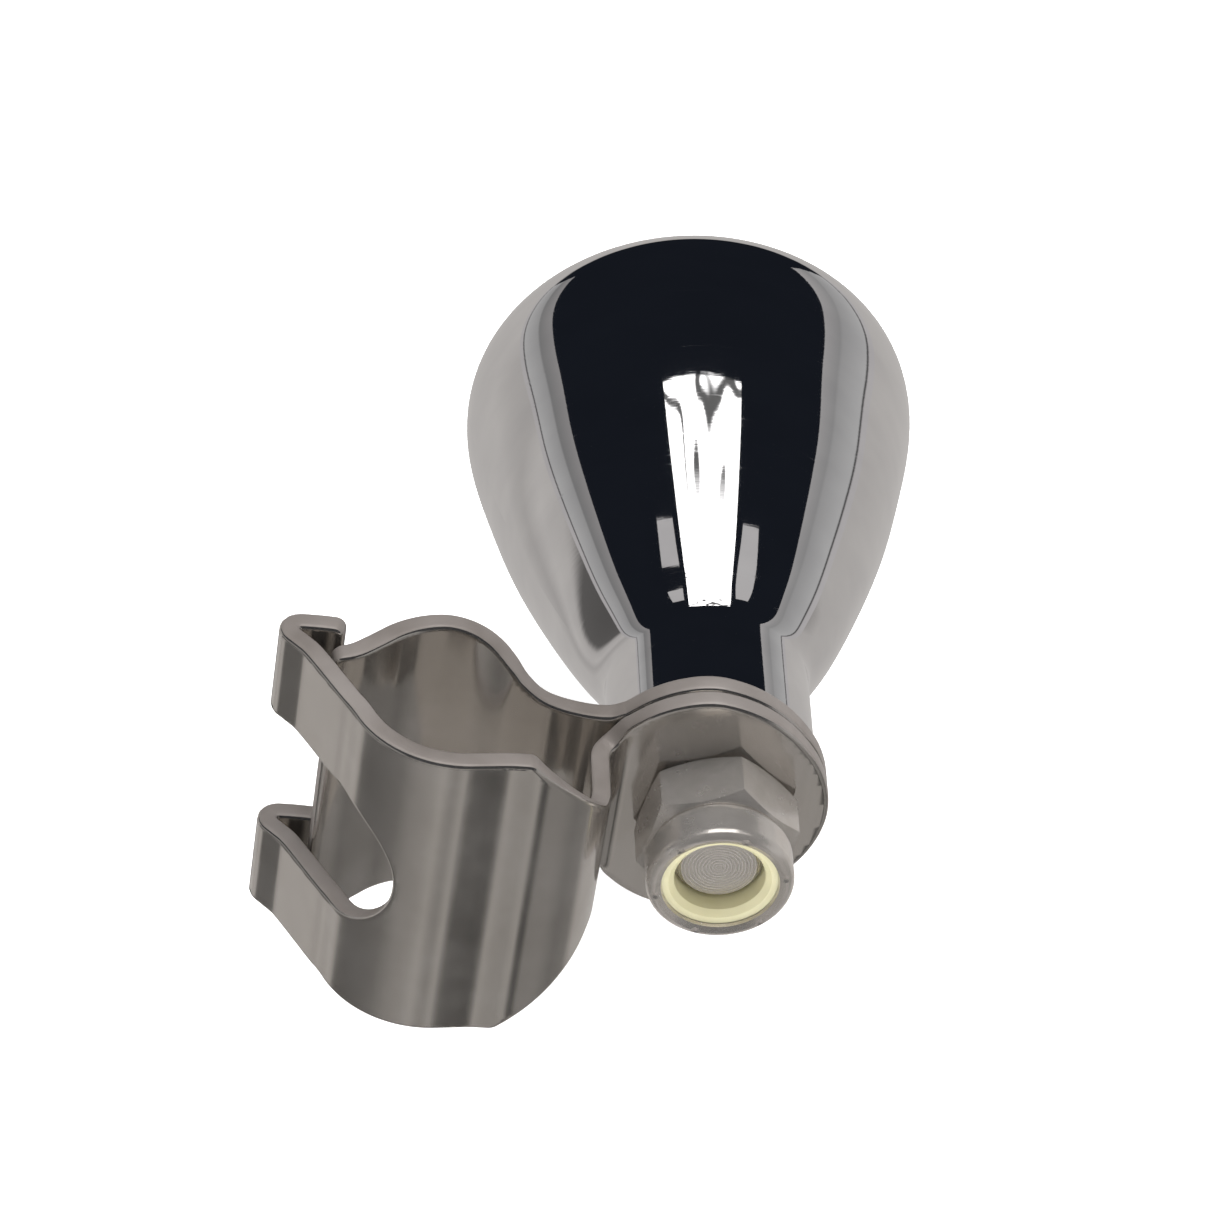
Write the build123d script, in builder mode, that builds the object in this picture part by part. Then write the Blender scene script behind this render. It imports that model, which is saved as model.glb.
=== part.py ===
from build123d import *
import os
from math import cos, radians, sin

# Clamp-on spinner knob. Millimetres.
# Frame: origin at the centre of the rim bore, Z along the rim, +Y towards the
# knob crown, X from the rim out to the spindle. The spindle axis is the line
# x = spindle_x, z = 0, parallel to Y.

# ---- sizes that drive everything ----
rim_r = 7.94            # clamped rim radius (5/8 in tube)
plate_t = 1.9           # jaw sheet thickness
half_width = 16.2       # half of the front band's length along the rim
back_half = 15.7        # the same for the back jaw
spindle_x = 24.5        # rim centre to spindle axis
pinch_y = 5.6           # the plane where the two jaw tabs meet
tab_gap = 0.06          # gap left between the two tabs
edge_r = 0.4            # polished edge rounding on the jaws

thread_r = 3.97         # 5/16 in thread, modelled at its major diameter
back_hole_r = 4.05      # back jaw hole, a close fit on the thread
front_hole_r = 4.75     # front jaw hole, wide so that the jaw can swing
slot_half = 6.8         # half width of the slot between the hook fingers
slot_end_x = -3.9       # where the slot's round end stops, along X
waist_half = 7.0        # half width of the front jaw's upright wall

journal_r = 5.0         # spindle journal
seat_r = 6.2            # seat washer under the journal
head_r = 6.4            # captive head
bore_r = 7.0            # bearing bore in the knob's neck
neck_r = 9.2            # outside of the neck
knob_r = 21.0           # widest radius of the knob

back_face = pinch_y + plate_t             # knob side of the back jaw
front_top = pinch_y - tab_gap             # front tab, knob side
front_face = front_top - plate_t          # front tab, nut side

# heights along the spindle
neck_y = 7.9
seat_y1 = 9.4
ring_y0, ring_y1 = 9.8, 10.8
low_y1 = 16.4
sleeve_y1 = 22.0
up_y1 = 27.6
washer_y1 = 28.5
head_y0, head_y1 = 28.6, 31.4
pad_y0, pad_y1 = 31.5, 33.2
wide_y = 55.3
crown_y = 66.0

nut_af = 12.7           # across flats
nut_y1 = front_face - 0.04
nut_hex_len = 5.4
nut_len = 9.7
collar_r = 6.5
insert_r = 5.45
lip_r = 5.1            # mouth of the collar's rolled lip
nut_bore_r = 4.01
bolt_end = -3.6
nut_phase = 139.4       # one corner of the hexagon, degrees
crimps = (15, 75, 135, 195, 255, 315)   # the six dents round the nut's lip, degrees

os.makedirs("parts", exist_ok=True)

axis = Axis((spindle_x, 0, 0), (0, 1, 0))
s = spindle_x
tab = [(s - 9.0, 8.9), (s - 7.0, 10.7), (s - 5.0, 11.85), (s - 3.0, 12.45), (s - 1.4, 12.6),
       (s, 12.4), (s + 2.0, 11.75), (s + 4.0, 10.65), (s + 6.0, 9.0), (s + 8.0, 6.55),
       (s + 9.0, 4.75), (s + 9.8, 2.5), (s + 10.1, 0.0)]

# ---------------------------------------------------------------- back jaw
with BuildPart() as back_jaw:
    with BuildSketch(Plane.XY.offset(-back_half)):
        with BuildLine():
            Spline((-10.75, 2.98), (-9.6, 3.12), (-8.0, 3.75), (-6.7, 4.85), (-5.35, 5.87))
            ThreePointArc((-5.35, 5.87), (0.0, rim_r), (4.1, 6.8))
            Spline((4.1, 6.8), (6.6, 5.85), (9.4, pinch_y), tangents=((0.856, -0.516), (1, 0)))
            Line((9.4, pinch_y), (36.0, pinch_y))
            Line((36.0, pinch_y), (36.0, back_face))
            Line((36.0, back_face), (9.6, back_face))
            Spline((9.6, back_face), (7.2, 7.72), (5.1, 8.42), tangents=((-1, 0), (-0.856, 0.516)))
            ThreePointArc((5.1, 8.42), (0.0, rim_r + plate_t), (-6.63, 7.28))
            Spline((-6.63, 7.28), (-8.0, 6.15), (-9.1, 5.25), (-9.9, 4.9), (-10.75, 4.82))
            Line((-10.75, 4.82), (-10.75, 2.98))
        make_face()
    extrude(amount=2 * back_half)
    with BuildSketch(Plane.XZ.offset(-20)):
        with BuildLine():
            Line((-13.0, back_half), (2.0, back_half))
            Spline((2.0, back_half), (5.6, 12.8), (9.0, 9.7), (12.0, 8.5), (14.4, 8.35), tab[0],
                   tangents=((0.85, -0.5), (0.72, 0.69)))
            Spline(*tab, tangents=((0.72, 0.69), (0, -1)))
            mirror(about=Plane.XZ)
            Line((-13.0, back_half), (-13.0, -back_half))
        make_face()
    extrude(amount=40, mode=Mode.INTERSECT)
    with BuildSketch(Plane.XZ.offset(-20)):
        with Locations((spindle_x, 0)):
            Circle(back_hole_r)
    extrude(amount=40, mode=Mode.SUBTRACT)
    rims = [e for e in back_jaw.edges() if e.length > 4.0 and not (e.geom_type == GeomType.LINE and abs((e @ 1 - e @ 0).Z) > 4.0)]
    rims += back_jaw.edges().filter_by(Axis.Z).group_by(Axis.X)[0]
    rims += [e for e in back_jaw.edges() if e.geom_type == GeomType.BSPLINE and 2.0 < e.length <= 4.0]
    fillet(rims, radius=edge_r)
back_jaw.part.label = "back_jaw"

# --------------------------------------------------------------- front jaw
bend_c = (15.9, 2.04)   # centre of the bend between the wall and the tab
wall_in, wall_out = bend_c[0] - 3.5, bend_c[0] - 1.6
with BuildPart() as front_jaw:
    with BuildSketch(Plane.XY.offset(-half_width)):
        with BuildLine():
            # inner side, from the hook's tip round the rim and up to the tab
            Spline((-10.1, 6.55), (-11.6, 6.3), (-12.8, 6.17), (-13.4, 5.85), (-13.3, 5.4), (-12.4, 4.45),
                   (-11.35, 3.15), (-10.55, 1.9), (-9.45, 0.0), (-7.196, -3.356),
                   tangents=((-1, -0.1), (0.423, -0.906)))
            ThreePointArc((-7.196, -3.356), (-3.0, -7.351), (2.055, -7.669))
            Spline((2.055, -7.669), (6.6, -7.5), tangents=((0.966, 0.259), (1, 0)))
            ThreePointArc((6.6, -7.5), (10.7013, -5.8013), (wall_in, -1.7))
            Line((wall_in, -1.7), (wall_in, bend_c[1]))
            ThreePointArc((wall_in, bend_c[1]), (bend_c[0] - 2.4749, bend_c[1] + 2.4749), (bend_c[0], front_top))
            Line((bend_c[0], front_top), (36.0, front_top))
            Line((36.0, front_top), (36.0, front_face))
            Line((36.0, front_face), (bend_c[0], front_face))
            ThreePointArc((bend_c[0], front_face), (bend_c[0] - 1.1314, bend_c[1] + 1.1314), (wall_out, bend_c[1]))
            Line((wall_out, bend_c[1]), (wall_out, -1.7))
            ThreePointArc((wall_out, -1.7), (12.0448, -7.1448), (6.6, -9.4))
            Spline((6.6, -9.4), (2.547, -9.505), tangents=((-1, 0), (-0.966, -0.259)))
            ThreePointArc((2.547, -9.505), (-3.72, -9.11), (-8.918, -4.159))
            Spline((-8.918, -4.159), (-11.25, -0.45), (-12.5, 1.75), (-13.5, 3.4), (-14.6, 4.7), (-15.4, 5.6),
                   (-15.55, 6.4), (-15.1, 7.2), (-14.3, 7.7), (-13.1, 7.98), (-11.6, 8.08), (-10.1, 7.85),
                   tangents=((-0.423, 0.906), (1, -0.2)))
            ThreePointArc((-10.1, 7.85), (-9.55, 7.15), (-10.1, 6.55))
        make_face()
    extrude(amount=2 * half_width)
    # taper from the band's full width to the wall, cut square to the sheet
    taper = Plane(origin=(6.6, -1.7, 0), x_dir=(0.8387, 0.5446, 0), z_dir=(0.5446, -0.8387, 0))
    with BuildSketch(taper.offset(2.0)):
        with BuildLine():
            Polyline((-4.2, half_width + 1.0), (-3.9, half_width), (4.35, waist_half), (7.0, waist_half),
                     (7.0, half_width + 1.0), (-4.2, half_width + 1.0))
        make_face()
        mirror(about=Plane.XZ)
    extrude(amount=8.0, mode=Mode.SUBTRACT)
    # upright wall and bend, cut along X
    with BuildSketch(Plane.YZ.offset(9.0)):
        with Locations((2.0, waist_half + 10), (2.0, -waist_half - 10)):
            Rectangle(8.8, 20)
    extrude(amount=5.35, mode=Mode.SUBTRACT)
    # tab outline, cut along Y
    with BuildSketch(Plane.XZ.offset(-20)):
        with BuildLine():
            Polyline((-20.0, half_width + 2), (14.35, half_width + 2), (14.35, waist_half))
            Spline((14.35, waist_half), (15.05, 7.3), tab[0], tangents=((1, 0), (0.68, 0.73)))
            Spline(*tab, tangents=((0.68, 0.73), (0, -1)))
            mirror(about=Plane.XZ)
            Line((-20.0, half_width + 2), (-20.0, -half_width - 2))
        make_face()
    extrude(amount=40, mode=Mode.INTERSECT)
    # slot between the two hook fingers
    with BuildSketch(Plane.XZ.offset(-20)):
        with BuildLine():
            Line((-20.0, slot_half), (-8.7, slot_half))
            Spline((-8.7, slot_half), (-6.5, 6.05), (-4.85, 4.1), (slot_end_x, 0.0), tangents=((1, 0), (0, -1)))
            mirror(about=Plane.XZ)
            Line((-20.0, slot_half), (-20.0, -slot_half))
        make_face()
    extrude(amount=40, mode=Mode.SUBTRACT)
    with BuildSketch(Plane.XZ.offset(-20)):
        with Locations((spindle_x, 0)):
            Circle(front_hole_r)
    extrude(amount=40, mode=Mode.SUBTRACT)
front_jaw.part.label = "front_jaw"

# ----------------------------------------------------------------- spindle
with BuildPart() as spindle:
    with BuildSketch():
        with BuildLine():
            Polyline((s, bolt_end), (s + thread_r - 0.62, bolt_end), (s + thread_r, bolt_end + 0.75),
                     (s + thread_r, seat_y1), (s + journal_r - 0.3, seat_y1), (s + journal_r, seat_y1 + 0.3),
                     (s + journal_r, head_y0), (s + head_r, head_y0), (s + head_r, head_y1 - 0.5),
                     (s + head_r - 0.5, head_y1), (s, head_y1), (s, bolt_end))
        make_face()
    revolve(axis=axis)
spindle.part.label = "spindle"


# --------------------------------------------------------- rings on the axis
with BuildPart() as seat_washer:
    with BuildSketch():
        with Locations((s + (thread_r + 0.04 + seat_r) / 2, (back_face + seat_y1) / 2)):
            Rectangle(seat_r - thread_r - 0.04, seat_y1 - back_face)
    revolve(axis=axis)
    chamfer(seat_washer.edges().filter_by(GeomType.CIRCLE).sort_by(SortBy.RADIUS)[-2:], 0.2)
seat_washer.part.label = "seat_washer"

with BuildPart() as lower_bushing:
    with BuildSketch():
        with Locations((s + (journal_r + 0.05 + bore_r) / 2, (ring_y1 + low_y1) / 2)):
            Rectangle(bore_r - journal_r - 0.05, low_y1 - ring_y1)
    revolve(axis=axis)
lower_bushing.part.label = "lower_bushing"

with BuildPart() as spacer_sleeve:
    with BuildSketch():
        with Locations((s + (5.7 + bore_r) / 2, (low_y1 + sleeve_y1) / 2)):
            Rectangle(bore_r - 5.7, sleeve_y1 - low_y1)
    revolve(axis=axis)
spacer_sleeve.part.label = "spacer_sleeve"

with BuildPart() as upper_bushing:
    with BuildSketch():
        with Locations((s + (journal_r + 0.05 + bore_r) / 2, (sleeve_y1 + up_y1) / 2)):
            Rectangle(bore_r - journal_r - 0.05, up_y1 - sleeve_y1)
    revolve(axis=axis)
upper_bushing.part.label = "upper_bushing"

with BuildPart() as thrust_washer:
    with BuildSketch():
        with Locations((s + (journal_r + 0.08 + 6.8) / 2, (up_y1 + washer_y1) / 2)):
            Rectangle(6.8 - journal_r - 0.08, washer_y1 - up_y1)
    revolve(axis=axis)
thrust_washer.part.label = "thrust_washer"

with BuildPart() as thrust_pad:
    with BuildSketch(Plane.XZ.offset(-pad_y0)):
        with Locations((spindle_x, 0)):
            Circle(6.9)
    extrude(amount=-(pad_y1 - pad_y0))
thrust_pad.part.label = "thrust_pad"

# internal retaining ring, open on one side, with two lugs
with BuildPart() as retaining_ring:
    with BuildSketch(Plane.XZ.offset(-ring_y0)):
        with Locations((spindle_x, 0)):
            Circle(7.55)
            Circle(6.25, mode=Mode.SUBTRACT)
        with Locations((spindle_x - 5.95, 2.4), (spindle_x - 5.95, -2.4)):
            Circle(1.0)
        with Locations((spindle_x, 0)):
            Circle(5.35, mode=Mode.SUBTRACT)
        with Locations((spindle_x - 7.0, 0)):
            Rectangle(4.0, 2.4, mode=Mode.SUBTRACT)
        with Locations((spindle_x - 6.0, 2.45), (spindle_x - 6.0, -2.45)):
            Circle(0.45, mode=Mode.SUBTRACT)
    extrude(amount=-(ring_y1 - ring_y0))
retaining_ring.part.label = "retaining_ring"

# -------------------------------------------------------------- knob shell
with BuildPart() as knob_shell:
    with BuildSketch():
        with BuildLine():
            Polyline((s, pad_y1 + 2.4), (s + bore_r, pad_y1), (s + bore_r, ring_y1 + 0.05), (s + 7.6, ring_y1 + 0.05),
                     (s + 7.6, ring_y0 - 0.05), (s + bore_r, ring_y0 - 0.05), (s + bore_r, neck_y + 0.4),
                     (s + bore_r + 0.4, neck_y), (s + neck_r - 0.6, neck_y))
            ThreePointArc((s + neck_r - 0.6, neck_y), (s + neck_r - 0.176, neck_y + 0.176), (s + neck_r, neck_y + 0.6))
            Line((s + neck_r, neck_y + 0.6), (s + neck_r, 18.9))
            Spline((s + neck_r, 18.9), (s + 9.42, 20.3), (s + 10.25, 22.0), (s + 11.55, 24.2), (s + 14.05, 29.5),
                   (s + 16.25, 35.1), (s + 18.12, 40.7), (s + 19.66, 46.9), (s + 20.62, 51.4), (s + knob_r, wide_y),
                   (s + 20.37, 58.45), (s + 18.8, 60.6), (s + 16.5, 62.2), (s + 13.2, 63.7), (s + 9.3, 64.9),
                   (s + 4.9, 65.7), (s, crown_y), tangents=((0, 1), (-1, 0)))
            Line((s, crown_y), (s, pad_y1 + 2.4))
        make_face()
    revolve(axis=axis)
knob_shell.part.label = "knob_shell"

# ---------------------------------------------------------------- lock nut
hex_y0 = nut_y1 - nut_hex_len
nut_y0 = nut_y1 - nut_len
with BuildPart() as lock_nut:
    with BuildSketch(Plane.XZ.offset(-nut_y1)):
        with Locations((spindle_x, 0)):
            RegularPolygon(radius=nut_af / 2, side_count=6, major_radius=False, rotation=nut_phase)
    extrude(amount=nut_hex_len)
    with BuildSketch():
        with BuildLine():
            Polyline((s, nut_y1), (s + 6.2, nut_y1), (s + 7.6, nut_y1 - 0.75), (s + 7.6, hex_y0 + 0.95),
                     (s + 6.1, hex_y0), (s, hex_y0), (s, nut_y1))
        make_face()
    revolve(axis=axis, mode=Mode.INTERSECT)
    # collar, its end rolled inwards over the insert
    with BuildSketch():
        with BuildLine():
            Polyline((s, hex_y0 + 1.0), (s + 6.0, hex_y0 + 1.0), (s + 6.0, hex_y0 - 0.25))
            ThreePointArc((s + 6.0, hex_y0 - 0.25), (s + collar_r - 0.1, hex_y0 - 0.6), (s + collar_r, hex_y0 - 1.15))
            Line((s + collar_r, hex_y0 - 1.15), (s + collar_r, nut_y0 + 1.1))
            ThreePointArc((s + collar_r, nut_y0 + 1.1), (s + collar_r - 0.26, nut_y0 + 0.32), (s + collar_r - 0.8, nut_y0))
            Polyline((s + collar_r - 0.8, nut_y0), (s, nut_y0), (s, hex_y0 + 1.0))
        make_face()
    revolve(axis=axis)
    with BuildSketch():
        with BuildLine():
            Polyline((s, nut_y1), (s + nut_bore_r + 0.55, nut_y1), (s + nut_bore_r, nut_y1 - 0.55), (s + nut_bore_r, nut_y0 + 3.4),
                     (s + insert_r, nut_y0 + 3.4), (s + insert_r, nut_y0 + 0.95), (s + lip_r, nut_y0 + 0.6),
                     (s + lip_r + 0.1, nut_y0 + 0.3), (s + collar_r - 0.8, nut_y0), (s, nut_y0), (s, nut_y1))
        make_face()
    revolve(axis=axis, mode=Mode.SUBTRACT)
    # crimp dents round the lip
    with Locations(*[(s + 5.75 * cos(radians(a)), nut_y0 - 0.22, 5.75 * sin(radians(a))) for a in crimps]):
        Sphere(0.5, mode=Mode.SUBTRACT)
lock_nut.part.label = "lock_nut"

with BuildPart() as lock_nut_insert:
    with BuildSketch():
        with BuildLine():
            Polyline((s + nut_bore_r, nut_y0 + 3.4), (s + insert_r, nut_y0 + 3.4), (s + insert_r, nut_y0 + 1.0),
                     (s + lip_r - 0.02, nut_y0 + 0.66), (s + nut_bore_r + 0.5, nut_y0 + 0.78),
                     (s + nut_bore_r, nut_y0 + 1.3), (s + nut_bore_r, nut_y0 + 3.4))
        make_face()
    revolve(axis=axis)
lock_nut_insert.part.label = "lock_nut_insert"

# ------------------------------------------------------------------ export
for node in (back_jaw, front_jaw, spindle, seat_washer, lower_bushing, spacer_sleeve, upper_bushing,
             thrust_washer, thrust_pad, retaining_ring, knob_shell, lock_nut, lock_nut_insert):
    b = node.part.bounding_box()
    print(node.part.label, len(node.part.solids()), round(node.part.volume, 1), b.min, b.max)
    export_step(node.part, "parts/" + node.part.label + ".step")
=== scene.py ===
import bpy, bmesh, math, random
from mathutils import Vector, Matrix


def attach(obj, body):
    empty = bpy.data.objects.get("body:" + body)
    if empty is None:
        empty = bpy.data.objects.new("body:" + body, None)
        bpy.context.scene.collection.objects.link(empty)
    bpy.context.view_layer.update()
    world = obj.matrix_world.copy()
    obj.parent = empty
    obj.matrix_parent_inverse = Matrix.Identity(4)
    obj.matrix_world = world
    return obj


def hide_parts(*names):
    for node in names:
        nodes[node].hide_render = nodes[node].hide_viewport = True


random.seed(7)
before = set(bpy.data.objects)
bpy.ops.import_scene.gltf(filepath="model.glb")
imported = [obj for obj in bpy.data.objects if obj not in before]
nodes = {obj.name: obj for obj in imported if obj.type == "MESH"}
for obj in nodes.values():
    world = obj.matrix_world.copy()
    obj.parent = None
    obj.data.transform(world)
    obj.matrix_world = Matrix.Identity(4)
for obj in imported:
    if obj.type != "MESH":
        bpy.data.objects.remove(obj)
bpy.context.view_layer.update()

MM = 0.001
SX = 24.5                     # spindle axis, mm, in the row frame
FRONT_FACE = 3.64             # nut side of the front jaw's tab


# ============================================================ small helpers
def obj_from(name, verts, faces, smooth=True):
    me = bpy.data.meshes.new(name)
    me.from_pydata([tuple(c * MM for c in v) for v in verts], [], faces)
    me.validate()
    me.update()
    if smooth:
        for p in me.polygons:
            p.use_smooth = True
    o = bpy.data.objects.new(name, me)
    bpy.context.scene.collection.objects.link(o)
    return o


def catmull(pts, n=24):
    """Smooth curve through pts (centripetal), n samples a span."""
    P = [Vector(p) for p in pts]
    P = [P[0] * 2 - P[1]] + P + [P[-1] * 2 - P[-2]]
    out = []
    for i in range(1, len(P) - 2):
        p0, p1, p2, p3 = P[i - 1:i + 3]
        t0 = 0.0
        t1 = t0 + max((p1 - p0).length, 1e-6) ** 0.5
        t2 = t1 + max((p2 - p1).length, 1e-6) ** 0.5
        t3 = t2 + max((p3 - p2).length, 1e-6) ** 0.5
        for k in range(n):
            t = t1 + (t2 - t1) * k / n
            a1 = p0 * ((t1 - t) / (t1 - t0)) + p1 * ((t - t0) / (t1 - t0))
            a2 = p1 * ((t2 - t) / (t2 - t1)) + p2 * ((t - t1) / (t2 - t1))
            a3 = p2 * ((t3 - t) / (t3 - t2)) + p3 * ((t - t2) / (t3 - t2))
            b1 = a1 * ((t2 - t) / (t2 - t0)) + a2 * ((t - t0) / (t2 - t0))
            b2 = a2 * ((t3 - t) / (t3 - t1)) + a3 * ((t - t1) / (t3 - t1))
            out.append(b1 * ((t2 - t) / (t2 - t1)) + b2 * ((t - t1) / (t2 - t1)))
    out.append(P[-2].copy())
    return [tuple(p) for p in out]


def resample(pts, step):
    """Even spacing along an open line."""
    P = [Vector(p) for p in pts]
    L = [0.0]
    for a, b in zip(P, P[1:]):
        L.append(L[-1] + (b - a).length)
    n = max(2, int(round(L[-1] / step)))
    out, j = [], 0
    for k in range(n + 1):
        d = L[-1] * k / n
        while j < len(L) - 2 and L[j + 1] < d:
            j += 1
        t = (d - L[j]) / max(L[j + 1] - L[j], 1e-9)
        out.append(tuple(P[j].lerp(P[j + 1], min(max(t, 0), 1))))
    return out


def arc(cx, cy, r, a0, a1, n=24):
    return [(cx + r * math.cos(math.radians(a0 + (a1 - a0) * k / n)),
             cy + r * math.sin(math.radians(a0 + (a1 - a0) * k / n))) for k in range(n + 1)]


# ================================================== bent sheet-metal builder
def bent_sheet(name, mid, half_t, outline, holes, s_at, bevel=0.42, step=0.55):
    """A flat plate cut to outline, rounded along its edges, then bent along mid.
    mid: the sheet's middle line in X, Y. outline, holes: loops in (s, z), s measured along mid."""
    cu = bpy.data.curves.new(name + "_flat", "CURVE")
    cu.dimensions = "2D"
    cu.fill_mode = "BOTH"
    cu.extrude = half_t - bevel
    cu.bevel_depth = bevel
    cu.bevel_resolution = 4
    cu.offset = -bevel
    for loop in [outline] + holes:
        sp = cu.splines.new("POLY")
        sp.points.add(len(loop) - 1)
        for p, q in zip(sp.points, loop):
            p.co = (q[0], q[1], 0.0, 1.0)
        sp.use_cyclic_u = True
    tmp = bpy.data.objects.new(name + "_flat", cu)
    bpy.context.scene.collection.objects.link(tmp)
    bpy.context.view_layer.update()
    me = bpy.data.meshes.new_from_object(tmp)
    bpy.data.objects.remove(tmp)
    bpy.data.curves.remove(cu)
    bm = bmesh.new()
    bm.from_mesh(me)
    bpy.data.meshes.remove(me)
    bmesh.ops.remove_doubles(bm, verts=bm.verts, dist=1e-4)
    # middle line and its running length
    P = [Vector(p) for p in mid]
    L = [0.0]
    for a, b in zip(P, P[1:]):
        L.append(L[-1] + (b - a).length)
    lo = min(v.co.x for v in bm.verts)
    hi = max(v.co.x for v in bm.verts)
    k = 1
    while lo + k * step < hi:
        geom = bm.verts[:] + bm.edges[:] + bm.faces[:]
        bmesh.ops.bisect_plane(bm, geom=geom, dist=1e-5, plane_co=(lo + k * step, 0, 0), plane_no=(1, 0, 0))
        k += 1
    bm.normal_update()
    for f in bm.faces:
        f.material_index = 1 if abs(f.normal.z) < 0.62 else 0
    # tangents at the points of mid
    T = []
    for i in range(len(P)):
        a, b = P[max(i - 1, 0)], P[min(i + 1, len(P) - 1)]
        T.append((b - a).normalized())

    def at(s):
        s -= s_at
        if s <= 0:
            return P[0] + T[0] * s, T[0]
        if s >= L[-1]:
            return P[-1] + T[-1] * (s - L[-1]), T[-1]
        i, j = 0, len(L) - 1
        while j - i > 1:
            m = (i + j) // 2
            if L[m] <= s:
                i = m
            else:
                j = m
        t = (s - L[i]) / max(L[i + 1] - L[i], 1e-9)
        return P[i].lerp(P[i + 1], t), T[i].lerp(T[i + 1], t).normalized()

    for v in bm.verts:
        s, z, h = v.co
        p, t = at(s)
        n = Vector((-t.y, t.x))
        q = p + n * h
        v.co = Vector((q.x, q.y, z)) * MM
    bmesh.ops.recalc_face_normals(bm, faces=bm.faces)
    me = bpy.data.meshes.new(name)
    bm.to_mesh(me)
    bm.free()
    for p in me.polygons:
        p.use_smooth = True
    o = bpy.data.objects.new(name, me)
    bpy.context.scene.collection.objects.link(o)
    w = o.modifiers.new("weighted", "WEIGHTED_NORMAL")
    w.mode = "FACE_AREA"
    w.weight = 50
    w.keep_sharp = True
    return o


def length(pts):
    return sum((Vector(b) - Vector(a)).length for a, b in zip(pts, pts[1:]))


# ================================================================ materials
def new_mat(name, base, metallic, rough, **kw):
    m = bpy.data.materials.new(name)
    m.use_nodes = True
    b = m.node_tree.nodes["Principled BSDF"]
    b.inputs["Base Color"].default_value = (*base, 1)
    b.inputs["Metallic"].default_value = metallic
    b.inputs["Roughness"].default_value = rough
    for k, v in kw.items():
        b.inputs[k.replace("_", " ")].default_value = v
    return m, m.node_tree, b


def N(nt, kind, **kw):
    n = nt.nodes.new(kind)
    for k, v in kw.items():
        if k.startswith("i_"):
            n.inputs[k[2:].replace("_", " ")].default_value = v
        else:
            setattr(n, k, v)
    return n


def ramp(nt, src, stops):
    r = nt.nodes.new("ShaderNodeValToRGB")
    e = r.color_ramp.elements
    while len(e) < len(stops):
        e.new(0.5)
    for el, (p, c) in zip(e, stops):
        el.position = p
        el.color = (*c, 1) if len(c) == 3 else c
    nt.links.new(src, r.inputs[0])
    return r.outputs[0]


def remap(nt, src, a, b, lo=0.0, hi=1.0):
    m = nt.nodes.new("ShaderNodeMapRange")
    m.inputs["From Min"].default_value = lo
    m.inputs["From Max"].default_value = hi
    m.inputs["To Min"].default_value = a
    m.inputs["To Max"].default_value = b
    nt.links.new(src, m.inputs["Value"])
    return m.outputs["Result"]


def scaled(nt, scale, rot=(0, 0, 0), loc=(0, 0, 0)):
    t = nt.nodes.new("ShaderNodeTexCoord")
    mp = nt.nodes.new("ShaderNodeMapping")
    mp.inputs["Scale"].default_value = scale
    mp.inputs["Rotation"].default_value = rot
    mp.inputs["Location"].default_value = loc
    nt.links.new(t.outputs["Object"], mp.inputs["Vector"])
    return mp.outputs["Vector"]


def round_axis(nt, cx=SX * MM, cz=0.0):
    """(angle, height, radius) about the spindle axis, from the object's own coordinates."""
    t = nt.nodes.new("ShaderNodeTexCoord")
    s = nt.nodes.new("ShaderNodeSeparateXYZ")
    nt.links.new(t.outputs["Object"], s.inputs[0])
    dx = N(nt, "ShaderNodeMath", operation="SUBTRACT")
    nt.links.new(s.outputs["X"], dx.inputs[0]); dx.inputs[1].default_value = cx
    dz = N(nt, "ShaderNodeMath", operation="SUBTRACT")
    nt.links.new(s.outputs["Z"], dz.inputs[0]); dz.inputs[1].default_value = cz
    an = N(nt, "ShaderNodeMath", operation="ARCTAN2")
    nt.links.new(dz.outputs[0], an.inputs[0]); nt.links.new(dx.outputs[0], an.inputs[1])
    x2 = N(nt, "ShaderNodeMath", operation="MULTIPLY"); nt.links.new(dx.outputs[0], x2.inputs[0]); nt.links.new(dx.outputs[0], x2.inputs[1])
    z2 = N(nt, "ShaderNodeMath", operation="MULTIPLY"); nt.links.new(dz.outputs[0], z2.inputs[0]); nt.links.new(dz.outputs[0], z2.inputs[1])
    ad = N(nt, "ShaderNodeMath", operation="ADD"); nt.links.new(x2.outputs[0], ad.inputs[0]); nt.links.new(z2.outputs[0], ad.inputs[1])
    ra = N(nt, "ShaderNodeMath", operation="SQRT"); nt.links.new(ad.outputs[0], ra.inputs[0])
    return an.outputs[0], s.outputs["Y"], ra.outputs[0]


def combine(nt, parts, scales):
    c = nt.nodes.new("ShaderNodeCombineXYZ")
    for i, (p, k) in enumerate(zip(parts, scales)):
        m = N(nt, "ShaderNodeMath", operation="MULTIPLY")
        nt.links.new(p, m.inputs[0]); m.inputs[1].default_value = k
        nt.links.new(m.outputs[0], c.inputs[i])
    return c.outputs[0]


def noise(nt, vec, scale, detail=4.0, rough=0.55, dist=0.0):
    n = N(nt, "ShaderNodeTexNoise")
    n.inputs["Scale"].default_value = scale
    n.inputs["Detail"].default_value = detail
    n.inputs["Roughness"].default_value = rough
    n.inputs["Distortion"].default_value = dist
    nt.links.new(vec, n.inputs["Vector"])
    return n.outputs["Fac"]


def bump(nt, b, height, strength, distance, prev=None):
    n = N(nt, "ShaderNodeBump")
    n.inputs["Strength"].default_value = strength
    n.inputs["Distance"].default_value = distance
    nt.links.new(height, n.inputs["Height"])
    if prev is not None:
        nt.links.new(prev, n.inputs["Normal"])
    nt.links.new(n.outputs[0], b.inputs["Normal"])
    return n.outputs[0]


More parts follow.
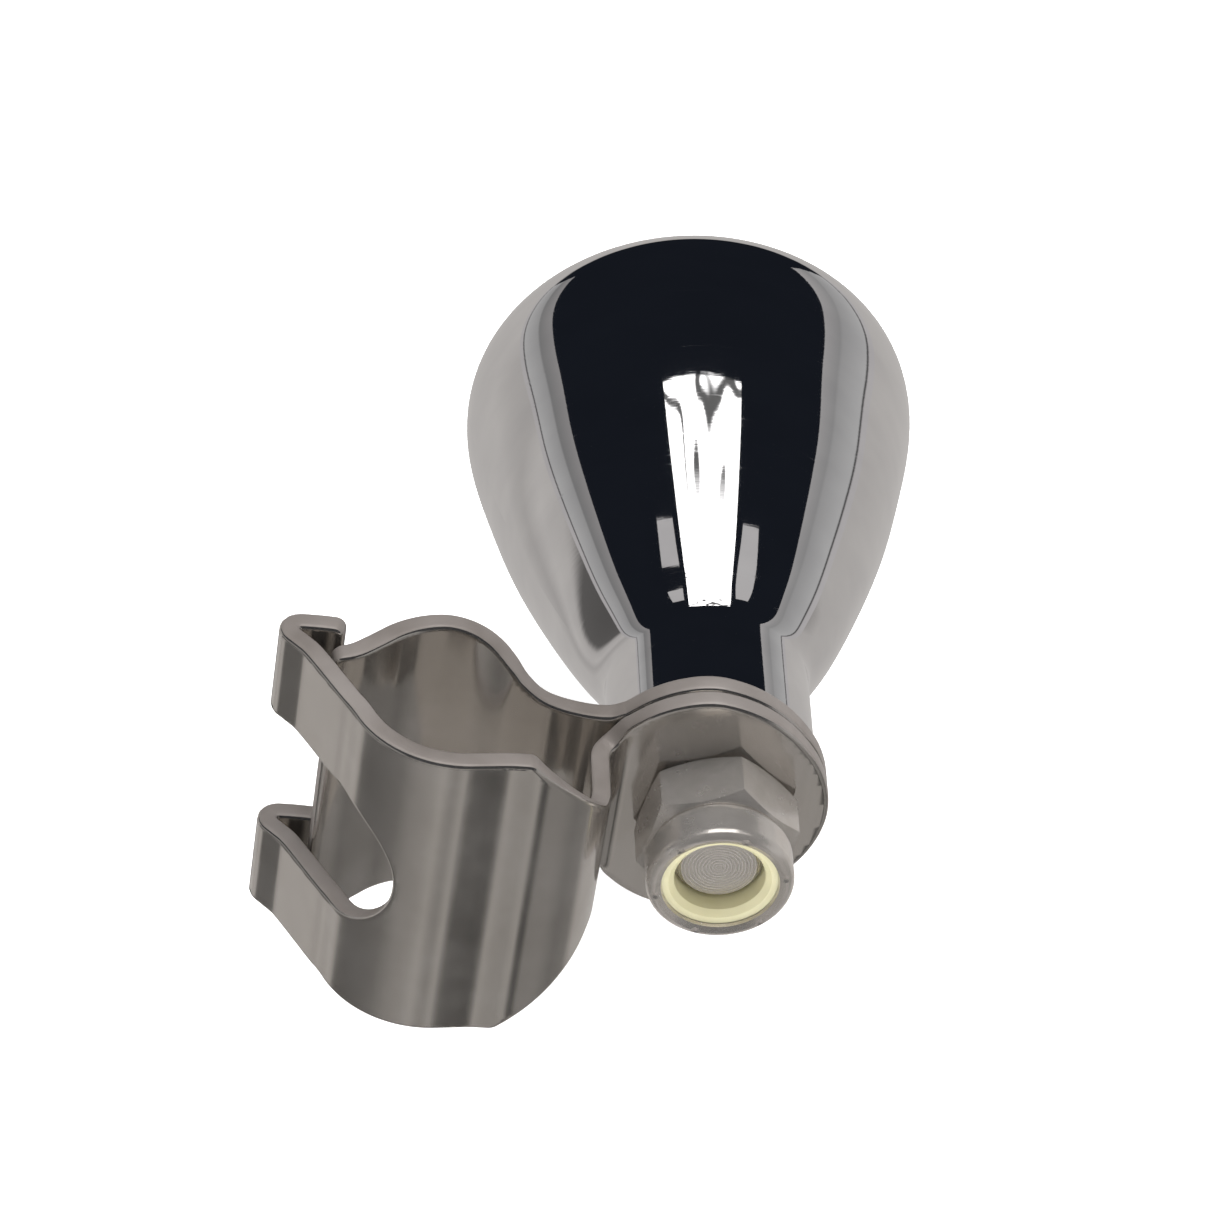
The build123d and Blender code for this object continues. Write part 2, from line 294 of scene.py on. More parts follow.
def mat_knob():
    m, nt, b = new_mat("knob_polish", (0.80, 0.79, 0.79), 1.0, 0.03)
    an, y, r = round_axis(nt)
    v = combine(nt, (an, y, r), (1.3, 1400.0, 300.0))
    fine = noise(nt, v, 2.0, 3.0, 0.6)
    v2 = combine(nt, (an, y, r), (2.2, 260.0, 120.0))
    broad = noise(nt, v2, 1.0, 2.0, 0.5)
    rough = ramp(nt, fine, [(0.0, (0.028,) * 3), (0.62, (0.034,) * 3), (0.74, (0.11,) * 3), (1.0, (0.16,) * 3)])
    nt.links.new(rough, b.inputs["Roughness"])
    bump(nt, b, fine, 0.045, 0.00004, bump(nt, b, broad, 0.03, 0.0001))
    col = ramp(nt, broad, [(0.3, (0.76, 0.75, 0.755)), (0.7, (0.83, 0.82, 0.82))])
    nt.links.new(col, b.inputs["Base Color"])
    return m


def mat_jaw():
    m, nt, b = new_mat("jaw_steel", (0.58, 0.55, 0.515), 0.95, 0.2)
    v = scaled(nt, (420, 420, 16))
    streak = noise(nt, v, 1.0, 4.0, 0.6)
    v2 = scaled(nt, (120, 120, 120))
    cloud = noise(nt, v2, 1.0, 5.0, 0.6)
    rough = N(nt, "ShaderNodeMath", operation="ADD")
    nt.links.new(remap(nt, streak, 0.07, 0.14, 0.3, 0.75), rough.inputs[0])
    nt.links.new(remap(nt, cloud, 0.0, 0.07, 0.35, 0.7), rough.inputs[1])
    nt.links.new(rough.outputs[0], b.inputs["Roughness"])
    col = ramp(nt, cloud, [(0.25, (0.53, 0.50, 0.465)), (0.5, (0.585, 0.555, 0.52)), (0.75, (0.64, 0.61, 0.58))])
    nt.links.new(col, b.inputs["Base Color"])
    soft = noise(nt, v2, 0.8, 1.5, 0.5)
    bump(nt, b, soft, 0.05, 0.00015)
    return m


def mat_edge():
    m, nt, b = new_mat("cut_edge", (0.24, 0.215, 0.20), 0.35, 0.45)
    v = scaled(nt, (260, 260, 900))
    n = noise(nt, v, 1.0, 5.0, 0.65)
    v2 = scaled(nt, (90, 90, 90))
    n2 = noise(nt, v2, 1.0, 3.0, 0.6)
    col = ramp(nt, n2, [(0.25, (0.16, 0.14, 0.125)), (0.5, (0.235, 0.21, 0.195)), (0.8, (0.29, 0.265, 0.25))])
    nt.links.new(col, b.inputs["Base Color"])
    nt.links.new(remap(nt, n, 0.34, 0.56, 0.3, 0.7), b.inputs["Roughness"])
    bump(nt, b, n, 0.25, 0.00006)
    return m


def mat_nut():
    m, nt, b = new_mat("nut_steel", (0.62, 0.58, 0.54), 0.78, 0.26)
    an, y, r = round_axis(nt)
    v = combine(nt, (an, y, r), (3.0, 900.0, 900.0))
    ring = noise(nt, v, 1.0, 3.0, 0.6)
    v2 = scaled(nt, (420, 420, 420))
    pit = noise(nt, v2, 1.0, 6.0, 0.65)
    rough = N(nt, "ShaderNodeMath", operation="ADD")
    nt.links.new(remap(nt, ring, 0.16, 0.26, 0.3, 0.7), rough.inputs[0])
    nt.links.new(remap(nt, pit, 0.0, 0.06, 0.35, 0.75), rough.inputs[1])
    nt.links.new(rough.outputs[0], b.inputs["Roughness"])
    col = ramp(nt, pit, [(0.25, (0.57, 0.53, 0.485)), (0.55, (0.62, 0.58, 0.54)), (0.8, (0.67, 0.63, 0.59))])
    nt.links.new(col, b.inputs["Base Color"])
    bump(nt, b, ring, 0.06, 0.00002, bump(nt, b, pit, 0.05, 0.00005))
    return m


def mat_turned(name="turned_steel", base=(0.50, 0.47, 0.43), ring_mm=0.33):
    """Turned steel: concentric tool marks on its end, round ones along its length."""
    m, nt, b = new_mat(name, base, 0.72, 0.3)
    an, y, r = round_axis(nt)
    wav = N(nt, "ShaderNodeMath", operation="MULTIPLY")
    nt.links.new(r, wav.inputs[0]); wav.inputs[1].default_value = 2 * math.pi / (ring_mm * MM)
    jig = combine(nt, (an, y, r), (0.6, 500.0, 1500.0))
    jn = noise(nt, jig, 1.0, 2.0, 0.5)
    ph = N(nt, "ShaderNodeMath", operation="MULTIPLY_ADD")
    nt.links.new(jn, ph.inputs[0]); ph.inputs[1].default_value = 5.0
    nt.links.new(wav.outputs[0], ph.inputs[2])
    sn = N(nt, "ShaderNodeMath", operation="SINE"); nt.links.new(ph.outputs[0], sn.inputs[0])
    h = remap(nt, sn.outputs[0], 0.0, 1.0, -1.0, 1.0)
    rough = ramp(nt, h, [(0.0, (0.38,) * 3), (1.0, (0.22,) * 3)])
    nt.links.new(rough, b.inputs["Roughness"])
    c0 = tuple(c * 0.84 for c in base)
    col = ramp(nt, h, [(0.0, c0), (0.6, base), (1.0, tuple(min(c * 1.15, 1) for c in base))])
    nt.links.new(col, b.inputs["Base Color"])
    bump(nt, b, h, 0.22, 0.00005)
    return m


def mat_nylon(name, base, dark):
    m, nt, b = new_mat(name, base, 0.0, 0.42, Subsurface_Weight=0.12, Subsurface_Scale=0.001)
    b.inputs["Subsurface Radius"].default_value = (1.0, 0.8, 0.5)
    v = scaled(nt, (600, 600, 600))
    n = noise(nt, v, 1.0, 5.0, 0.6)
    v2 = scaled(nt, (150, 150, 150))
    n2 = noise(nt, v2, 1.0, 3.0, 0.6)
    col = ramp(nt, n2, [(0.3, dark), (0.65, base)])
    nt.links.new(col, b.inputs["Base Color"])
    nt.links.new(remap(nt, n, 0.34, 0.52, 0.3, 0.7), b.inputs["Roughness"])
    bump(nt, b, n, 0.15, 0.00005)
    return m


def mat_dark_steel():
    m, nt, b = new_mat("spring_steel", (0.30, 0.29, 0.28), 1.0, 0.35)
    v = scaled(nt, (700, 700, 700))
    n = noise(nt, v, 1.0, 5.0, 0.6)
    nt.links.new(remap(nt, n, 0.25, 0.5, 0.3, 0.7), b.inputs["Roughness"])
    col = ramp(nt, n, [(0.3, (0.24, 0.23, 0.22)), (0.7, (0.38, 0.37, 0.35))])
    nt.links.new(col, b.inputs["Base Color"])
    bump(nt, b, n, 0.1, 0.00005)
    return m


M = {
    "knob": mat_knob(), "jaw": mat_jaw(), "edge": mat_edge(), "nut": mat_nut(), "turned": mat_turned("turned_steel", (0.60, 0.565, 0.53), 0.30),
    "washer": mat_turned("washer_steel", (0.56, 0.55, 0.53), 0.2),
    "sleeve": mat_turned("sleeve_aluminium", (0.72, 0.72, 0.73), 0.25),
    "insert": mat_nylon("insert_nylon", (0.66, 0.62, 0.40), (0.58, 0.54, 0.33)),
    "bushing": mat_nylon("bushing_nylon", (0.84, 0.82, 0.74), (0.78, 0.75, 0.66)),
    "spring": mat_dark_steel(),
}


def dress(o, m):
    o.data.materials.clear()
    o.data.materials.append(m)


for n, k in (("knob_shell", "knob"), ("retaining_ring", "spring"), ("lower_bushing", "bushing"), ("spacer_sleeve", "sleeve"),
             ("upper_bushing", "bushing"), ("thrust_washer", "washer"), ("thrust_pad", "bushing"), ("spindle", "turned"),
             ("seat_washer", "washer"), ("back_jaw", "jaw"), ("front_jaw", "jaw"), ("lock_nut", "nut"),
             ("lock_nut_insert", "insert")):
    dress(nodes[n], M[k])

def densify(loop, step=0.35):
    out = []
    n = len(loop)
    for i in range(n):
        a, b = Vector(loop[i]), Vector(loop[(i + 1) % n])
        k = max(1, int((b - a).length / step))
        for j in range(k):
            out.append(tuple(a.lerp(b, j / k)))
    return out


def rounded(loop, radii):
    """Loop with its listed corners rounded: radii maps a corner's index to its radius."""
    out = []
    n = len(loop)
    for i, p in enumerate(loop):
        r = radii.get(i, 0)
        if not r:
            out.append(p)
            continue
        p0, p1, p2 = Vector(loop[i - 1]), Vector(p), Vector(loop[(i + 1) % n])
        u, w = (p0 - p1).normalized(), (p2 - p1).normalized()
        ang = math.acos(max(-1, min(1, u.dot(w))))
        d = min(r / math.tan(ang / 2), 0.49 * (p0 - p1).length, 0.49 * (p2 - p1).length)
        rr = d * math.tan(ang / 2)
        c = p1 + (u + w).normalized() * (rr / math.sin(ang / 2))
        a0 = p1 + u * d - c
        a1 = p1 + w * d - c
        t0, t1 = math.atan2(a0.y, a0.x), math.atan2(a1.y, a1.x)
        while t1 - t0 > math.pi:
            t1 -= 2 * math.pi
        while t1 - t0 < -math.pi:
            t1 += 2 * math.pi
        k = max(4, int(abs(t1 - t0) * rr / 0.15))
        out += [(c.x + rr * math.cos(t0 + (t1 - t0) * j / k), c.y + rr * math.sin(t0 + (t1 - t0) * j / k)) for j in range(k + 1)]
    return out


def s_of_x(mid, x, after=0.0):
    """Running length along mid where it first reaches x, at or past the length after."""
    s = 0.0
    for a, b in zip(mid, mid[1:]):
        d = (Vector(b) - Vector(a)).length
        if s + d >= after and (a[0] - x) * (b[0] - x) <= 0 and abs(b[0] - a[0]) > 1e-9:
            return s + d * (x - a[0]) / (b[0] - a[0])
        s += d
    return s


# ------------------------------------------------------------- the two jaws
TAB = [(SX - 9.0, 8.9), (SX - 7.0, 10.65), (SX - 5.0, 11.8), (SX - 3.0, 12.45), (SX - 1.4, 12.6), (SX, 12.4),
       (SX + 2.0, 11.75), (SX + 4.0, 10.65), (SX + 6.0, 9.0), (SX + 8.0, 6.55), (SX + 9.0, 4.75), (SX + 9.75, 2.5), (SX + 10.05, 0.0)]
TAB = TAB + [(x, -z) for x, z in TAB[-2::-1]]


def circle_loop(cx, cz, r, n=96):
    return [(cx + r * math.cos(2 * math.pi * k / n), cz + r * math.sin(2 * math.pi * k / n)) for k in range(n)]


def front_sheet():
    mid = catmull([(-9.6, 6.86), (-10.6, 7.0), (-11.8, 7.08), (-12.7, 7.1), (-13.4, 7.1)], 10)[:-1]
    mid += arc(-13.4, 6.05, 1.05, 90, 225, 22)[:-1]
    mid += catmull([(-14.142, 5.308), (-13.4, 4.56), (-12.65, 3.75), (-11.6, 2.12), (-10.4, 0.1), (-9.15, -1.98), (-8.6, -2.8), (-8.057, -3.757)], 14)[:-1]
    mid += arc(0, 0, 8.89, 205, 276.5, 60)[:-1]
    mid += catmull([(1.006, -8.833), (2.0, -8.72), (3.1, -8.594), (4.05, -8.492), (4.9, -8.455), (5.7, -8.45), (6.6, -8.45)], 8)[:-1]
    mid += arc(6.6, -1.7, 6.75, 270, 360, 60)[:-1]
    mid += [(13.35, -1.7), (13.35, 0.2)]
    mid += arc(15.9, 2.04, 2.55, 180, 90, 36)
    mid += [(20.0, 4.59), (27.0, 4.59), (34.6, 4.59)]
    hw, sh, wh = 16.2, 6.8, 7.0
    s_arc = length(mid[:len(mid)])  # whole length
    s_slot = s_of_x(mid, -3.9, after=19.0)
    s_bot = s_of_x(mid, 6.6, after=19.0)
    s_up = s_bot + 6.75 * math.pi / 2
    s_bend = s_up + 3.74
    s_flat = s_bend + 2.55 * math.pi / 2

    def tab_s(x):
        return s_flat + (x - 15.9) if x >= 15.9 else s_bend + 2.55 * math.acos((15.9 - x) / 2.55)
    tab = [(tab_s(x), z) for x, z in TAB]
    neck_t = catmull([(s_bend + 0.4, wh), (s_bend + 2.2, 7.25), tab[0]], 10)
    tabc = catmull([(p[0], p[1]) for p in tab], 6)
    diag0, diag1 = s_bot - 6.75 * math.radians(2.3), s_bot + 6.75 * math.radians(73.0)
    loop = [(0.0, hw)]
    loop += [(diag0, hw), (diag1, wh), (s_bend - 0.4, wh)] + neck_t[1:-1] + tabc + [(p[0], -p[1]) for p in neck_t[1:-1]][::-1]
    loop += [(s_bend - 0.4, -wh), (diag1, -wh), (diag0, -hw), (0.0, -hw), (0.0, -sh)]
    c = s_slot - sh
    loop += [(c + sh * math.cos(math.radians(a)), sh * math.sin(math.radians(a))) for a in range(-90, 91, 4)]
    loop += [(0.0, sh)]
    n = len(loop)
    i_d0, i_d1 = 1, 2
    i_m1 = next(i for i, p in enumerate(loop) if p == (diag1, -wh))
    radii = {0: 1.0, i_d0: 1.2, i_d1: 3.0, i_m1: 3.0, i_m1 + 1: 1.2, i_m1 + 2: 1.0, i_m1 + 3: 0.8, n - 1: 0.8}
    loop = densify(rounded(loop, radii))
    hole = circle_loop(tab_s(SX), 0, 4.75)[::-1]
    return bent_sheet("front_jaw_sheet", mid, 0.95, loop, [hole], 0.0)


def back_sheet():
    mid = catmull([(-10.72, 3.93), (-9.75, 4.02), (-8.6, 4.52), (-7.35, 5.45), (-5.983, 6.575)], 14)[:-1]
    mid += arc(0, 0, 8.89, 132.3, 59.0, 60)[:-1]
    mid += catmull([(4.579, 7.62), (5.7, 7.06), (7.1, 6.68), (8.4, 6.56), (9.5, 6.55)], 12)[:-1]
    mid += [(9.5, 6.55), (14.0, 6.55), (24.0, 6.55), (34.6, 6.55)]
    hw = 15.7
    s_flat = length(mid) - (34.6 - 9.5)

    def S(x):
        return s_flat + (x - 9.5) if x >= 9.5 else s_of_x(mid, x)
    side = [(-2.2, hw - 0.02), (-0.5, 15.6), (1.4, 15.2), (3.0, 14.55), (4.2, 13.75), (5.5, 12.5), (6.7, 11.05), (8.6, 9.5), (11.4, 8.55), (14.2, 8.35)]
    sidec = catmull([(S(x), z) for x, z in side] + [(S(TAB[0][0]), TAB[0][1])], 10)
    tabc = catmull([(S(x), z) for x, z in TAB], 6)
    loop = [(0.0, hw)] + sidec[:-1] + tabc + [(p[0], -p[1]) for p in sidec[:-1]][::-1] + [(0.0, -hw)]
    loop = densify(rounded(loop, {0: 1.0, len(loop) - 1: 1.0}))
    hole = circle_loop(S(SX), 0, 4.05)[::-1]
    return bent_sheet("back_jaw_sheet", mid, 0.95, loop, [hole], 0.0)


for fn, node, body in ((front_sheet, "front_jaw", "swing_jaw"), (back_sheet, "back_jaw", "clamp")):
    o = fn()
    o.data.materials.append(M["jaw"])
    o.data.materials.append(M["edge"])
    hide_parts(node)
    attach(o, body)


# ------------------------------------------------------------------ the knob
def cubic(pts, t0, t1, n=16):
    """C2 cubic through pts, chord-length parameter, with end directions t0, t1."""
    m = len(pts)
    u = [0.0]
    for a, b in zip(pts, pts[1:]):
        u.append(u[-1] + math.hypot(b[0] - a[0], b[1] - a[1]))
    out = []
    sol = []
    for d in (0, 1):
        a, b, c, r = [0.0] * m, [1.0] * m, [0.0] * m, [0.0] * m
        r[0], r[-1] = t0[d], t1[d]
        for i in range(1, m - 1):
            h0, h1 = u[i] - u[i - 1], u[i + 1] - u[i]
            a[i], b[i], c[i] = h1, 2 * (h0 + h1), h0
            r[i] = 3 * (h1 * (pts[i][d] - pts[i - 1][d]) / h0 + h0 * (pts[i + 1][d] - pts[i][d]) / h1)
        for i in range(1, m):
            w = a[i] / b[i - 1]
            b[i] -= w * c[i - 1]
            r[i] -= w * r[i - 1]
        x = [0.0] * m
        x[-1] = r[-1] / b[-1]
        for i in range(m - 2, -1, -1):
            x[i] = (r[i] - c[i] * x[i + 1]) / b[i]
        sol.append(x)
    for i in range(m - 1):
        h = u[i + 1] - u[i]
        for k in range(n):
            t = k / n
            q = []
            for d in (0, 1):
                p0, p1, m0, m1 = pts[i][d], pts[i + 1][d], sol[d][i] * h, sol[d][i + 1] * h
                q.append((2 * t**3 - 3 * t**2 + 1) * p0 + (t**3 - 2 * t**2 + t) * m0 + (-2 * t**3 + 3 * t**2) * p1 + (t**3 - t**2) * m1)
            out.append(tuple(q))
    out.append(tuple(pts[-1]))
    return out


def revolve(name, prof, n=192, closed=False):
    """Surface of revolution about the spindle axis from (radius, height) points, in mm."""
    verts, faces, rows = [], [], []
    for r, y in prof:
        if r < 1e-6:
            rows.append([len(verts)])
            verts.append((SX, y, 0.0))
        else:
            rows.append(list(range(len(verts), len(verts) + n)))
            verts += [(SX + r * math.cos(2 * math.pi * k / n), y, r * math.sin(2 * math.pi * k / n)) for k in range(n)]
    pairs = list(zip(rows, rows[1:]))
    if closed:
        pairs.append((rows[-1], rows[0]))
    for a, b in pairs:
        for k in range(n):
            j = (k + 1) % n
            if len(a) == 1 and len(b) > 1:
                faces.append((a[0], b[k], b[j]))
            elif len(b) == 1 and len(a) > 1:
                faces.append((a[k], b[0], a[j]))
            elif len(a) > 1:
                faces.append((a[k], b[k], b[j], a[j]))
    o = obj_from(name, verts, faces)
    bm = bmesh.new()
    bm.from_mesh(o.data)
    bmesh.ops.recalc_face_normals(bm, faces=bm.faces)
    bm.to_mesh(o.data)
    bm.free()
    return o


NECK_R, NECK_Y = 9.2, 7.9
FLANK = [(9.2, 18.9), (9.42, 20.3), (10.25, 22.0), (11.55, 24.2), (14.05, 29.5), (16.25, 35.1), (18.12, 40.7), (19.66, 46.9),
         (20.62, 51.4), (21.0, 55.3), (20.37, 58.45), (18.8, 60.6), (16.5, 62.2), (13.2, 63.7), (9.3, 64.9), (4.9, 65.7), (0.0, 66.0)]


def knob_mesh():
    prof = [(7.0, 33.1), (7.0, 10.9), (7.6, 10.9), (7.6, 9.75), (7.0, 9.75), (7.0, 8.4), (7.03, 8.2), (7.12, 8.02), (7.26, 7.92), (7.4, 7.9)]
    prof += [(8.6, 7.9), (8.78, 7.925), (8.95, 8.0), (9.08, 8.12), (9.17, 8.3), (9.2, 8.5)]
    prof += [(9.2, 8.5 + 0.8 * k) for k in range(1, 13)]
    prof += cubic(FLANK, (0, 1), (-1, 0), 12)
    o = revolve("knob_body", prof, 256)
    for p in o.data.polygons:
        p.use_smooth = True
    bm = bmesh.new()
    bm.from_mesh(o.data)
    for e in bm.edges:
        if len(e.link_faces) == 2 and e.calc_face_angle(0) > math.radians(35):
            e.smooth = False
    bm.to_mesh(o.data)
    bm.free()
    return o


o = knob_mesh()
dress(o, M["knob"])
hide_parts("knob_shell")
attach(o, "knob")

# crisp machined parts keep their CAD shape, with their edges broken
for n, wd in (("lock_nut", 0.14), ("spindle", 0.08), ("seat_washer", 0.05), ("retaining_ring", 0.08), ("lock_nut_insert", 0.1)):
    bv = nodes[n].modifiers.new("edge", "BEVEL")
    bv.width = wd * MM
    bv.segments = 3
    bv.limit_method = "ANGLE"
    bv.angle_limit = math.radians(28)
    bv.harden_normals = False
    for p in nodes[n].data.polygons:
        pass



# ==================================================================== stage
def plane(name, corners, mat, cam=True, glossy=True, diffuse=True, shadow=False):
    me = bpy.data.meshes.new(name)
    me.from_pydata(corners, [], [tuple(range(len(corners)))])
    o = bpy.data.objects.new(name, me)
    bpy.context.scene.collection.objects.link(o)
    o.data.materials.append(mat)
    o.visible_camera = cam
    o.visible_glossy = glossy
    o.visible_diffuse = diffuse
    o.visible_transmission = glossy
    o.visible_shadow = shadow
    return o


def emit(name, col, power):
    m = bpy.data.materials.new(name)
    m.use_nodes = True
    nt = m.node_tree
    nt.nodes.clear()
    out = nt.nodes.new("ShaderNodeOutputMaterial")
    e = nt.nodes.new("ShaderNodeEmission")
    e.inputs["Color"].default_value = (*col, 1)
    e.inputs["Strength"].default_value = power
    nt.links.new(e.outputs[0], out.inputs[0])
    return m


FLOOR_Z = -0.032
fm = bpy.data.materials.new("floor")
fm.use_nodes = True
nt = fm.node_tree
b = nt.nodes["Principled BSDF"]
b.inputs["Base Color"].default_value = (0.92, 0.92, 0.92, 1)
b.inputs["Roughness"].default_value = 0.9
b.inputs["Emission Color"].default_value = (1, 1, 1, 1)
b.inputs["Emission Strength"].default_value = 0.55
plane("floor", [(-9, -9, FLOOR_Z), (9, -9, FLOOR_Z), (9, 9, FLOOR_Z), (-9, 9, FLOOR_Z)], fm, cam=True, glossy=False, diffuse=True, shadow=False)

# what polished steel sees: cards that only reflections can see
card = lambda n, c, col, p: plane(n, c, emit(n, col, p), cam=False, glossy=True, diffuse=False)
def dome_mat():
    """What lies all round the bench: soft stripes of light and shade below the horizon, dark above it."""
    m = bpy.data.materials.new("dome")
    m.use_nodes = True
    nt = m.node_tree
    nt.nodes.clear()
    out = nt.nodes.new("ShaderNodeOutputMaterial")
    e = nt.nodes.new("ShaderNodeEmission")
    tc = nt.nodes.new("ShaderNodeTexCoord")
    sp = nt.nodes.new("ShaderNodeSeparateXYZ")
    nt.links.new(tc.outputs["Object"], sp.inputs[0])
    an = N(nt, "ShaderNodeMath", operation="ARCTAN2")
    nt.links.new(sp.outputs["Y"], an.inputs[0])
    nt.links.new(sp.outputs["X"], an.inputs[1])
    deg = remap(nt, an.outputs[0], 0.0, 1.0, -math.pi, math.pi)
    stops = [(-180, 0.10), (-160, 0.11), (-142, 0.15), (-125, 0.27), (-108, 0.33), (-98, 0.42), (-91, 0.30), (-86, 0.26), (-82, 0.32), (-76, 0.46),
             (-73, 0.10), (-68.5, 0.02), (-66, 0.10), (-62, 0.24), (-40, 0.24), (-20, 0.16), (0, 0.20), (12, 0.46), (60, 0.52),
             (95, 0.50), (140, 0.50), (150, 0.42), (157, 0.52), (164, 0.46), (168, 0.12), (180, 0.10)]
    low = ramp(nt, deg, [((d + 180) / 360, (v, v * 0.965, v * 0.935)) for d, v in stops])
    mix = nt.nodes.new("ShaderNodeMix")
    mix.data_type = "RGBA"
    nt.links.new(remap(nt, sp.outputs["Z"], 0.0, 1.0, -0.06, 0.04), mix.inputs["Factor"])
    nt.links.new(low, mix.inputs["A"])
    mix.inputs["B"].default_value = (0.009, 0.011, 0.016, 1)
    nt.links.new(mix.outputs["Result"], e.inputs["Color"])
    nt.links.new(e.outputs[0], out.inputs[0])
    return m


def dome(radius=3.0, rings=24, segs=96):
    verts, faces = [(0, 0, -radius)], []
    for i in range(1, rings):
        ph = -math.pi / 2 + math.pi * i / rings
        verts += [(radius * math.cos(ph) * math.cos(2 * math.pi * k / segs), radius * math.cos(ph) * math.sin(2 * math.pi * k / segs), radius * math.sin(ph)) for k in range(segs)]
    verts.append((0, 0, radius))
    for k in range(segs):
        faces.append((0, 1 + (k + 1) % segs, 1 + k))
        for i in range(rings - 2):
            a, b = 1 + i * segs, 1 + (i + 1) * segs
            faces.append((a + k, a + (k + 1) % segs, b + (k + 1) % segs, b + k))
        faces.append((len(verts) - 1, 1 + (rings - 2) * segs + k, 1 + (rings - 2) * segs + (k + 1) % segs))
    me = bpy.data.meshes.new("refl_dome")
    me.from_pydata(verts, [], faces)
    o = bpy.data.objects.new("refl_dome", me)
    bpy.context.scene.collection.objects.link(o)
    o.data.materials.append(dome_mat())
    o.visible_camera = o.visible_diffuse = o.visible_shadow = False
    o.visible_transmission = o.visible_volume_scatter = False
    o.visible_glossy = True
    return o


dome()
def window_mat():
    """Bright panes; the far half is crossed by crooked dark bars."""
    m = bpy.data.materials.new("window")
    m.use_nodes = True
    nt = m.node_tree
    nt.nodes.clear()
    out = nt.nodes.new("ShaderNodeOutputMaterial")
    e = nt.nodes.new("ShaderNodeEmission")
    e.inputs["Strength"].default_value = 2.4
    tc = nt.nodes.new("ShaderNodeTexCoord")
    sp = nt.nodes.new("ShaderNodeSeparateXYZ")
    nt.links.new(tc.outputs["Object"], sp.inputs[0])
    mp = nt.nodes.new("ShaderNodeMapping")
    mp.inputs["Scale"].default_value = (2.0, 1.2, 1.0)
    mp.inputs["Rotation"].default_value = (0, 0, 0.5)
    nt.links.new(tc.outputs["Object"], mp.inputs["Vector"])
    n = noise(nt, mp.outputs["Vector"], 3.0, 0.0, 0.4, 0.5)
    bars = ramp(nt, n, [(0.0, (1,) * 3), (0.44, (1,) * 3), (0.47, (0.06,) * 3), (0.53, (0.06,) * 3), (0.56, (1,) * 3), (1.0, (1,) * 3)])
    mix = nt.nodes.new("ShaderNodeMix")
    mix.data_type = "RGBA"
    nt.links.new(remap(nt, sp.outputs["Y"], 0.0, 1.0, 0.04, 0.12), mix.inputs["Factor"])
    mix.inputs["A"].default_value = (1, 1, 1, 1)
    nt.links.new(bars, mix.inputs["B"])
    nt.links.new(mix.outputs["Result"], e.inputs["Color"])
    nt.links.new(e.outputs[0], out.inputs[0])
    return m


def wall_mat(name, lo, hi, z0, z1):
    """A wall that fades from hi near the bench to lo at its top."""
    m = bpy.data.materials.new(name)
    m.use_nodes = True
    nt = m.node_tree
    nt.nodes.clear()
    out = nt.nodes.new("ShaderNodeOutputMaterial")
    e = nt.nodes.new("ShaderNodeEmission")
    tc = nt.nodes.new("ShaderNodeTexCoord")
    sp = nt.nodes.new("ShaderNodeSeparateXYZ")
    nt.links.new(tc.outputs["Object"], sp.inputs[0])
    h = remap(nt, sp.outputs["Z"], 0.0, 1.0, z0, z1)
    c = ramp(nt, h, [(0.0, (hi, hi * 0.97, hi * 0.975)), (0.10, (hi, hi * 0.97, hi * 0.975)), (0.13, (0.02,) * 3), (0.16, (hi * 0.95,) * 3), (0.55, (hi * 0.72,) * 3),
                     (0.60, (lo * 0.7,) * 3), (1.0, (lo, lo * 0.97, lo * 0.97))])
    nt.links.new(c, e.inputs["Color"])
    nt.links.new(e.outputs[0], out.inputs[0])
    return m


dome()
ref = lambda n, c, m: plane(n, c, m, cam=False, glossy=True, diffuse=False)
ref("refl_left", [(-0.9, -0.9, -0.06), (-0.9, 1.6, -0.06), (-0.9, 1.6, 0.30), (-0.9, -0.9, 0.27)], wall_mat("wall_left", 0.30, 0.46, -0.06, 0.30))
ref("refl_right", [(0.9, -0.9, -0.06), (0.9, 1.6, -0.06), (0.9, 1.6, 0.60), (0.9, -0.9, 0.36)], wall_mat("wall_right", 0.42, 0.48, -0.06, 0.60))
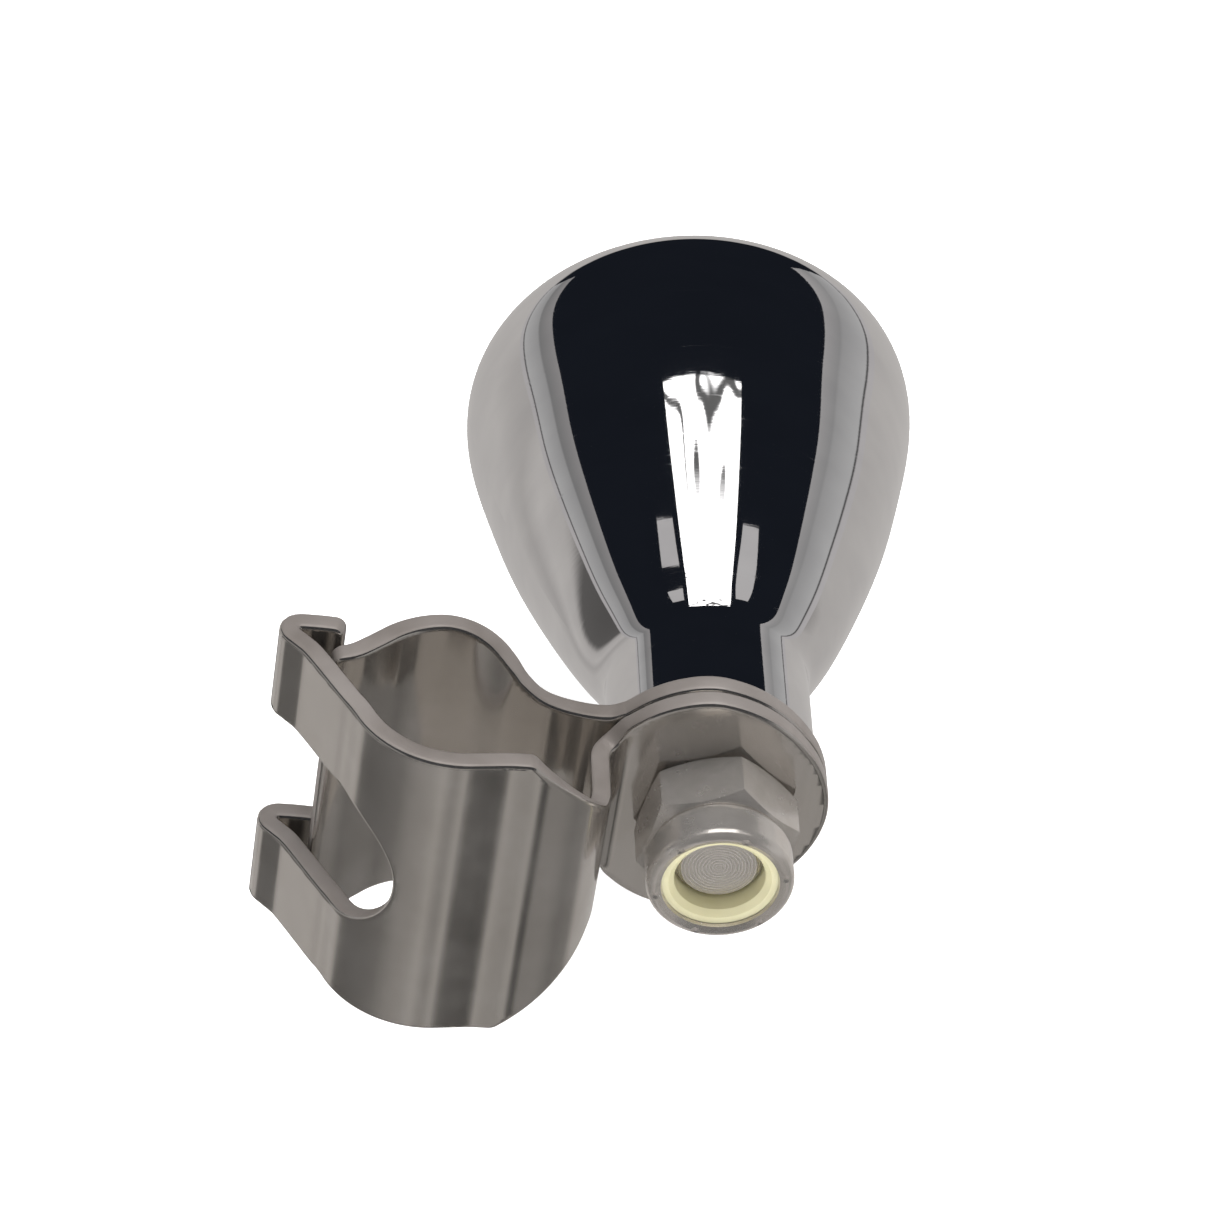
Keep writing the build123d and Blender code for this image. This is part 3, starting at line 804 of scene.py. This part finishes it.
# a window overhead, and two pale panels beside it
ref("refl_top", [(-0.33, -0.22, 0.9), (0.30, -0.22, 0.9), (0.30, 0.34, 0.9), (-0.33, 0.34, 0.9)], window_mat())
card("refl_side_a", [(-0.70, -0.20, 0.9), (-0.40, -0.20, 0.9), (-0.40, 0.04, 0.9), (-0.62, 0.06, 0.9)], (1.0, 0.98, 0.98), 0.50)
card("refl_side_b", [(0.36, -0.24, 0.9), (0.70, -0.24, 0.9), (0.60, 0.06, 0.9), (0.38, 0.04, 0.9)], (1.0, 0.98, 0.98), 0.50)

world = bpy.data.worlds.new("studio")
bpy.context.scene.world = world
world.use_nodes = True
bg = world.node_tree.nodes["Background"]
bg.inputs["Color"].default_value = (1, 1, 1, 1)
bg.inputs["Strength"].default_value = 0.9
world.cycles_visibility.glossy = False


def area(name, loc, target, size, power, col=(1, 1, 1), glossy=False):
    l = bpy.data.lights.new(name, "AREA")
    l.shape = "RECTANGLE"
    l.size, l.size_y = size
    l.energy = power
    l.color = col
    o = bpy.data.objects.new(name, l)
    o.location = loc
    d = Vector(target) - Vector(loc)
    o.rotation_euler = d.to_track_quat("-Z", "Y").to_euler()
    bpy.context.scene.collection.objects.link(o)
    o.visible_camera = False
    o.visible_glossy = glossy
    return o


area("key", (0.1, 0.1, 0.9), (0, 0, 0), (0.7, 0.7), 9.0)

# =================================================================== camera
cam = bpy.data.cameras.new("camera")
co = bpy.data.objects.new("camera", cam)
bpy.context.scene.collection.objects.link(co)
R = ((0.9916450, -0.0353117, 0.1240696), (-0.0674650, 0.6778077, 0.7321374), (-0.1099483, -0.7343908, 0.6697623))
loc = (-41.1235, -351.1454, 346.7404)
mw = Matrix(((R[0][0], R[1][0], R[2][0], loc[0] * MM), (R[0][1], R[1][1], R[2][1], loc[1] * MM),
             (R[0][2], R[1][2], R[2][2], loc[2] * MM), (0, 0, 0, 1)))
co.matrix_world = mw
cam.sensor_fit = "HORIZONTAL"
cam.sensor_width = 36.0
cam.lens = 168.14226
cam.clip_start = 0.01
cam.clip_end = 50
bpy.context.scene.camera = co
bpy.context.scene.view_settings.view_transform = "Standard"
